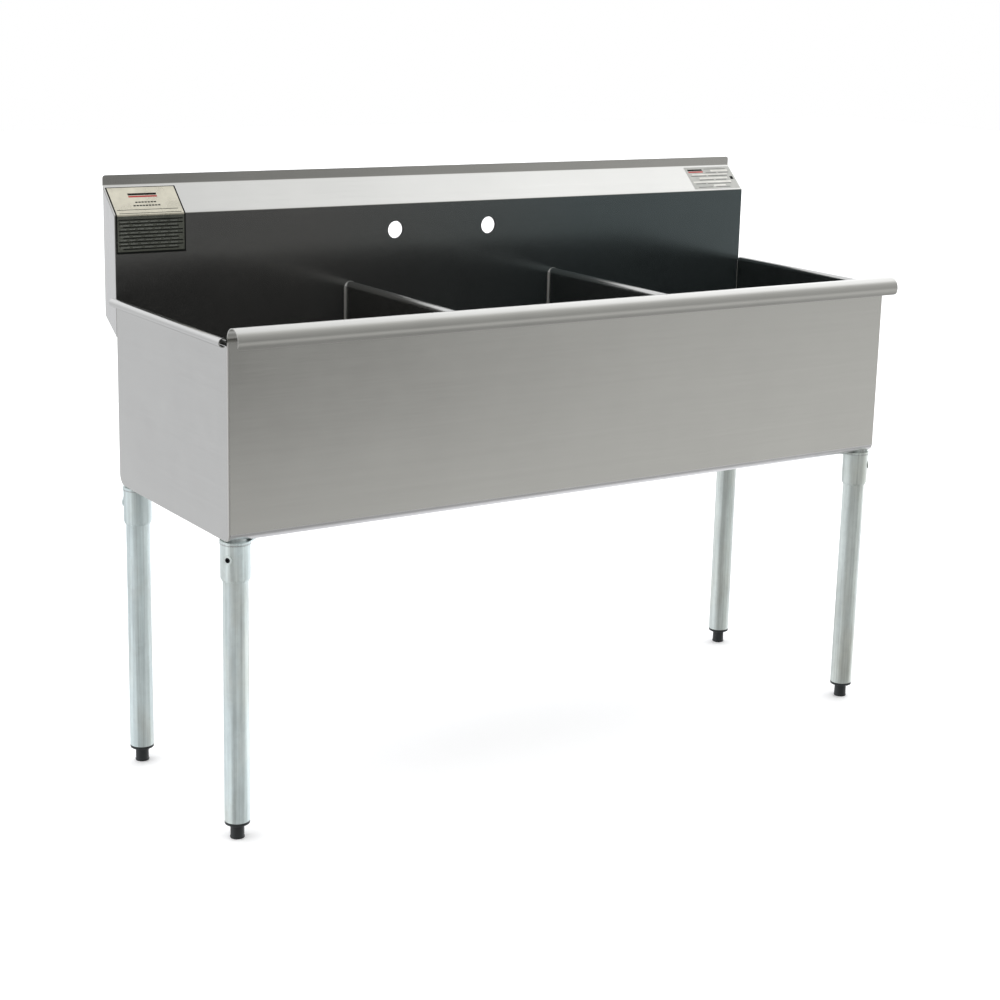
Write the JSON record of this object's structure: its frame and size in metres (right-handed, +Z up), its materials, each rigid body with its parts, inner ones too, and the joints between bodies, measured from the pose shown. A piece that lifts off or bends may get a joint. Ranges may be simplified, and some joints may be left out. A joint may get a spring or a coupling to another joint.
{
  "type": "three compartment sink",
  "caption": "Free-standing stainless sink: a row of bowls with a rolled front rim, a tall back splash with two faucet holes, strainer drains, and tube legs on screw feet.",
  "frame": {"origin": "on the floor below the middle of the sink's outline", "axes": "+X along the row of bowls, +Y towards the wall behind the sink, +Z up"},
  "size_m": [1.399, 0.521, 1.0345],
  "materials": {
    "stainless": "brushed along the length, satin",
    "galvanised": "galvanised, cool grey with faint vertical streaks",
    "polished_steel": "polished",
    "black_oxide": "black oxide",
    "black_plastic": "moulded, satin",
    "gasket_rubber": "matt",
    "fibre": "matt",
    "clear_film": "printed clear film",
    "silver_film": "printed silver film"
  },
  "bodies": {
    "sink": {"tub_sheet": "stainless", "end_wall_left": "stainless", "end_wall_right": "stainless", "divider_left": "stainless", "divider_right": "stainless", "splash_end_cap_left": "stainless", "splash_end_cap_right": "stainless", "leg_plate_front_left": "galvanised", "leg_socket_front_left": "galvanised", "set_screw_front_left": "black_oxide", "leg_front_left": "galvanised", "foot_insert_front_left": "black_plastic", "leg_plate_front_right": "galvanised", "leg_socket_front_right": "galvanised", "set_screw_front_right": "black_oxide", "leg_front_right": "galvanised", "foot_insert_front_right": "black_plastic", "leg_plate_back_left": "galvanised", "leg_socket_back_left": "galvanised", "set_screw_back_left": "black_oxide", "leg_back_left": "galvanised", "foot_insert_back_left": "black_plastic", "leg_plate_back_right": "galvanised", "leg_socket_back_right": "galvanised", "set_screw_back_right": "black_oxide", "leg_back_right": "galvanised", "foot_insert_back_right": "black_plastic", "drain_body_left": "polished_steel", "drain_gasket_left": "gasket_rubber", "drain_washer_left": "fibre", "drain_locknut_left": "polished_steel", "drain_body_middle": "polished_steel", "drain_gasket_middle": "gasket_rubber", "drain_washer_middle": "fibre", "drain_locknut_middle": "polished_steel", "drain_body_right": "polished_steel", "drain_gasket_right": "gasket_rubber", "drain_washer_right": "fibre", "drain_locknut_right": "polished_steel", "label_left": "clear_film", "label_right": "silver_film"},
    "foot_lift_front_left": {"foot_stud_front_left": "black_plastic"},
    "foot_front_left": {"foot_shoe_front_left": "black_plastic"},
    "foot_lift_front_right": {"foot_stud_front_right": "black_plastic"},
    "foot_front_right": {"foot_shoe_front_right": "black_plastic"},
    "foot_lift_back_left": {"foot_stud_back_left": "black_plastic"},
    "foot_back_left": {"foot_shoe_back_left": "black_plastic"},
    "foot_lift_back_right": {"foot_stud_back_right": "black_plastic"},
    "foot_back_right": {"foot_shoe_back_right": "black_plastic"},
    "basket_left": {"drain_basket_left": "polished_steel"},
    "basket_middle": {"drain_basket_middle": "polished_steel"},
    "basket_right": {"drain_basket_right": "polished_steel"}
  },
  "joints": [
    {"name": "foot_travel_front_left", "type": "slide", "parent": "sink", "child": "foot_lift_front_left", "axis": [0, 0, -1], "range_m": [0, 0.025]},
    {"name": "foot_turn_front_left", "type": "hinge", "parent": "foot_lift_front_left", "child": "foot_front_left", "pos_m": [-0.664, -0.19935, 0.012], "axis": [0, 0, -1], "range_deg": [0, 4500]},
    {"name": "foot_travel_front_right", "type": "slide", "parent": "sink", "child": "foot_lift_front_right", "axis": [0, 0, -1], "range_m": [0, 0.025]},
    {"name": "foot_turn_front_right", "type": "hinge", "parent": "foot_lift_front_right", "child": "foot_front_right", "pos_m": [0.664, -0.19935, 0.012], "axis": [0, 0, -1], "range_deg": [0, 4500]},
    {"name": "foot_travel_back_left", "type": "slide", "parent": "sink", "child": "foot_lift_back_left", "axis": [0, 0, -1], "range_m": [0, 0.025]},
    {"name": "foot_turn_back_left", "type": "hinge", "parent": "foot_lift_back_left", "child": "foot_back_left", "pos_m": [-0.664, 0.18665, 0.012], "axis": [0, 0, -1], "range_deg": [0, 4500]},
    {"name": "foot_travel_back_right", "type": "slide", "parent": "sink", "child": "foot_lift_back_right", "axis": [0, 0, -1], "range_m": [0, 0.025]},
    {"name": "foot_turn_back_right", "type": "hinge", "parent": "foot_lift_back_right", "child": "foot_back_right", "pos_m": [0.664, 0.18665, 0.012], "axis": [0, 0, -1], "range_deg": [0, 4500]},
    {"name": "basket_lift_left", "type": "slide", "parent": "sink", "child": "basket_left", "axis": [0, 0, 1], "range_m": [0, 0.4]},
    {"name": "basket_lift_middle", "type": "slide", "parent": "sink", "child": "basket_middle", "axis": [0, 0, 1], "range_m": [0, 0.4]},
    {"name": "basket_lift_right", "type": "slide", "parent": "sink", "child": "basket_right", "axis": [0, 0, 1], "range_m": [0, 0.4]}
  ],
  "couplings": [
    {"joint": "foot_turn_front_left", "follows": "foot_travel_front_left", "rad_per_m": 3141.6},
    {"joint": "foot_turn_front_right", "follows": "foot_travel_front_right", "rad_per_m": 3141.6},
    {"joint": "foot_turn_back_left", "follows": "foot_travel_back_left", "rad_per_m": 3141.6},
    {"joint": "foot_turn_back_right", "follows": "foot_travel_back_right", "rad_per_m": 3141.6}
  ]
}
